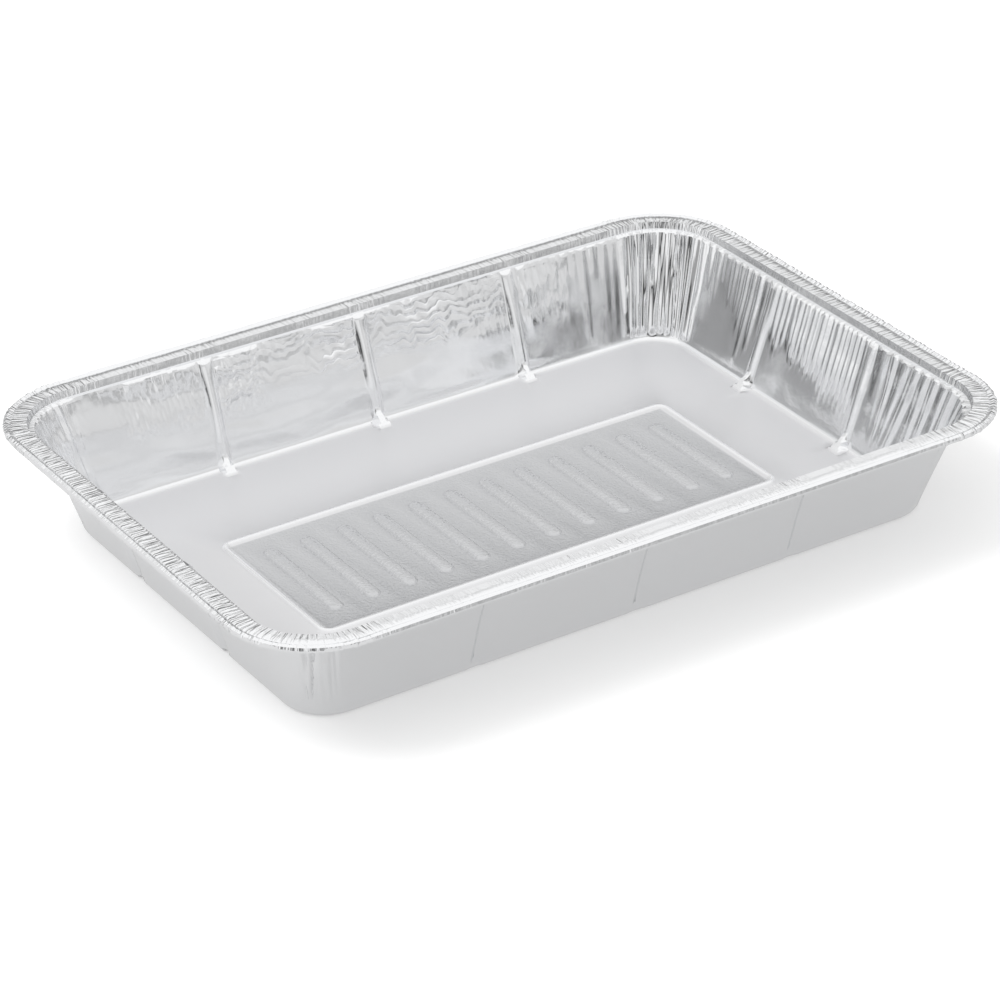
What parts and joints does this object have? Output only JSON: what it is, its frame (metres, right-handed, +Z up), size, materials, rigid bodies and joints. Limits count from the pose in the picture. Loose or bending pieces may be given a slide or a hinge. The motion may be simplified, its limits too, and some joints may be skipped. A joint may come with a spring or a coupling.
{
  "type": "foil drip pan",
  "caption": "Rectangular foil drip pan with a rolled rim and flange, sloping walls with ribs, fluted ends and pleated corners, and a raised frame of shallow ribs in its flat floor.",
  "frame": {"origin": "Centre of the floor's underside, on the ground that the pan rests on.", "axes": "+X along the pan's length, +Y across its width, +Z up out of the open top."},
  "size_m": [0.33, 0.232, 0.046],
  "materials": {
    "foil": "satin rolled foil"
  },
  "bodies": {
    "root": {"pan": "foil"}
  },
  "joints": []
}
